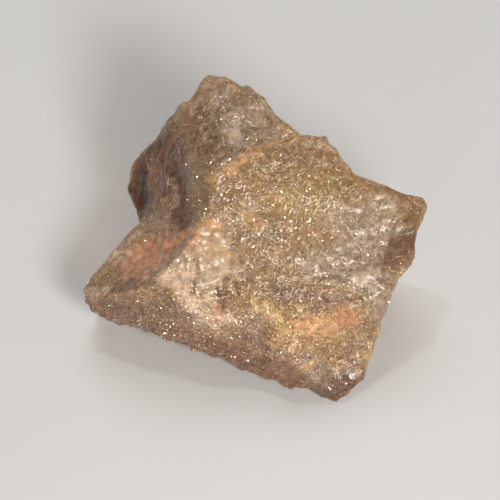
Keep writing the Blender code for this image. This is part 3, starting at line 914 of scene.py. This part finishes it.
# a needle stands on a quad drawn by area and density, takes the way of a spray close to it, is laid
# nearly flat on the skin, and its tips are kept inside; a flake lies on the skin, a little tilted
def makeNeedles(name, kind):
    look = needleLook
    random = np.random.default_rng(kind["seed"])
    count = kind["count"]
    seen = quadMiddle + stone["heart"]
    density = quadNeedles.copy()
    for (right, up), (wide, high), gain in kind["dense"]:
        apart = ((seen[:, 0] - right) / wide) ** 2 + ((seen[:, 1] - up) / high) ** 2
        density *= 1 + gain * np.exp(-apart) * (seen[:, 2] > stone["nearSide"])
    weight = quadArea * density * (place(quadMiddle)[:, 2] > look["lowest"])
    pick = random.choice(len(weight), count, p=weight / weight.sum())
    at = quadMiddle[pick]
    for diagonal in (quadAcross, quadAlong):
        at = at + diagonal[pick] * random.uniform(-look["onQuad"], look["onQuad"], (count, 1))
    out = quadOut[pick]

    spots = quadMiddle[random.choice(len(quadArea), kind["sprays"], p=quadArea / quadArea.sum())]
    apart = (at ** 2).sum(1)[:, None] + (spots ** 2).sum(1)[None] - 2 * at @ spots.T
    group = np.argmin(apart * random.uniform(*look["sprayPull"], apart.shape), axis=1)
    ways = unit(random.normal(size=spots.shape))[group]
    star = (random.random(kind["sprays"]) < kind["stars"])[group]
    ways = np.where(star[:, None], unit(at - spots[group] + 1e-6), ways)
    ways = ways + random.normal(size=ways.shape) * kind["fan"]
    ways = ways - out * ((ways * out).sum(1) * (1 - kind["dip"]))[:, None]
    if "tilt" in kind:
        ways = out + random.normal(size=out.shape) * kind["tilt"]
    ways = unit(ways)

    middle = at - out * drawn(random, kind["depth"], count, kind["hug"])[:, None]
    half = drawn(random, kind["length"], count, look["shortness"])[:, None] / 2
    first = keepInside(middle - ways * half, kind["proud"])
    last = keepInside(middle + ways * half, kind["proud"])
    radius = random.uniform(*kind["radius"], count)
    points, faces = needleMesh(place(first), place(last), radius, random)
    points[:, 2] = np.maximum(points[:, 2], 0.0)
    piece = makePiece(name, points, faces, makeRutile(name, kind), False)
    gain = drawn(random, kind["gain"], (count, 1), look["dullness"])
    colour = np.array(kind["colour"][:3]) * kind["own"] + quadColour[pick] * gain * (1 - kind["own"])
    dye(piece, np.repeat(np.minimum(colour, look["brightest"]), 5, axis=0))


for name, kind in needleKinds.items():
    makeNeedles(name, kind)

# floor, light and camera

# metres for the floor, the lamps and the clip range, millimetres for the rest
studio = {
    "floor": tint(202, 203, 204), "floorCloud": tint(211, 212, 213),
    "cloud": (9.0, 3.0), "cloudEdge": (0.3, 0.7), "cloudShare": 0.25,
    "floorRoughness": 0.7,
    "floorReach": 3.0, "floorDrop": 0.0001,    # how far it goes each way, and its gap to the stone
    "world": 0.19, "worldColour": (1.0, 0.98, 0.95, 1.0),
    "lampAim": (0, 0, 0.015),
    "key": {"at": (0.20, -0.47, 0.36), "size": 0.2, "power": 3.5, "colour": (1.0, 0.95, 0.88)},
    "sparkle": {"at": (-0.10, 0.12, 0.60), "size": 0.06, "power": 0.5, "colour": (1.0, 1.0, 1.0)},
    "fill": {"at": (-0.05, 0.34, 0.50), "size": 0.4, "power": 1.2, "colour": (1.0, 0.97, 0.93)},
    "low": {"at": (-0.12, -0.50, 0.12), "size": 0.06, "power": 0.35, "colour": (1.0, 0.94, 0.86)},
    "frameWidth": 87.5,            # what the picture shows across, at the aim
    "aim": (-0.9, -1.75, 0.0),     # the picture's middle in the reading
    "distance": 900.0,
    "sensor": 36.0, "clip": (0.05, 20.0),
}


# one pale square with faint clouds, just under the stone's resting face
def makeFloor():
    net = Net("pale_floor")
    cloud = net.noise(net.add("TexCoord")["Object"], *studio["cloud"])
    share = cloud.climb(*studio["cloudEdge"]) * studio["cloudShare"]
    colour = net.mix(share, studio["floor"], studio["floorCloud"])
    surface = net.add("BsdfPrincipled", None, {
        "Base Color": colour, "Roughness": studio["floorRoughness"]})
    mesh = bpy.data.meshes.new("floor")
    far = studio["floorReach"]
    corners = [(-far, -far, 0), (far, -far, 0), (far, far, 0), (-far, far, 0)]
    mesh.from_pydata(corners, [], [(0, 1, 2, 3)])
    mesh.materials.append(net.show(surface))
    floor = bpy.data.objects.new("floor", mesh)
    floor.location.z = -studio["floorDrop"]
    bpy.context.scene.collection.objects.link(floor)


# a round lamp, turned from its place toward the middle of the stone
def makeLight(name, lamp):
    data = bpy.data.lights.new(name, "AREA")
    data.shape = "DISK"
    data.size = lamp["size"]
    data.energy = lamp["power"]
    data.color = lamp["colour"]
    light = bpy.data.objects.new(name, data)
    light.location = lamp["at"]
    light.rotation_mode = "QUATERNION"
    toward = Vector(studio["lampAim"]) - light.location
    light.rotation_quaternion = toward.to_track_quat("-Z", "Y")
    bpy.context.scene.collection.objects.link(light)


# stands back from the aim along the eye's way: the lens is the sensor's width times the distance
# over the width of what it frames
def makeCamera():
    data = bpy.data.cameras.new("camera")
    data.sensor_width = studio["sensor"]
    data.lens = studio["sensor"] * studio["distance"] / studio["frameWidth"]
    data.clip_start, data.clip_end = studio["clip"]
    camera = bpy.data.objects.new("camera", data)
    aim = Vector(toStone(studio["aim"]) + stone["zero"]) * 0.001
    eye = Vector(toStone((0, 0, 1)))
    camera.location = aim + eye * studio["distance"] * 0.001
    camera.rotation_mode = "QUATERNION"
    camera.rotation_quaternion = (-eye).to_track_quat("-Z", "Y")
    bpy.context.scene.collection.objects.link(camera)
    bpy.context.scene.camera = camera


# the world is one even warm white all round
def makeWorld():
    world = bpy.data.worlds.new("soft_room")
    world.use_nodes = True
    background = world.node_tree.nodes["Background"]
    background.inputs["Color"].default_value = studio["worldColour"]
    background.inputs["Strength"].default_value = studio["world"]
    bpy.context.scene.world = world


makeFloor()
for lamp in ("key", "fill", "sparkle", "low"):
    makeLight(lamp, studio[lamp])
makeCamera()
makeWorld()
bpy.context.scene.view_settings.view_transform = "Standard"
print("floor, light and camera are set")
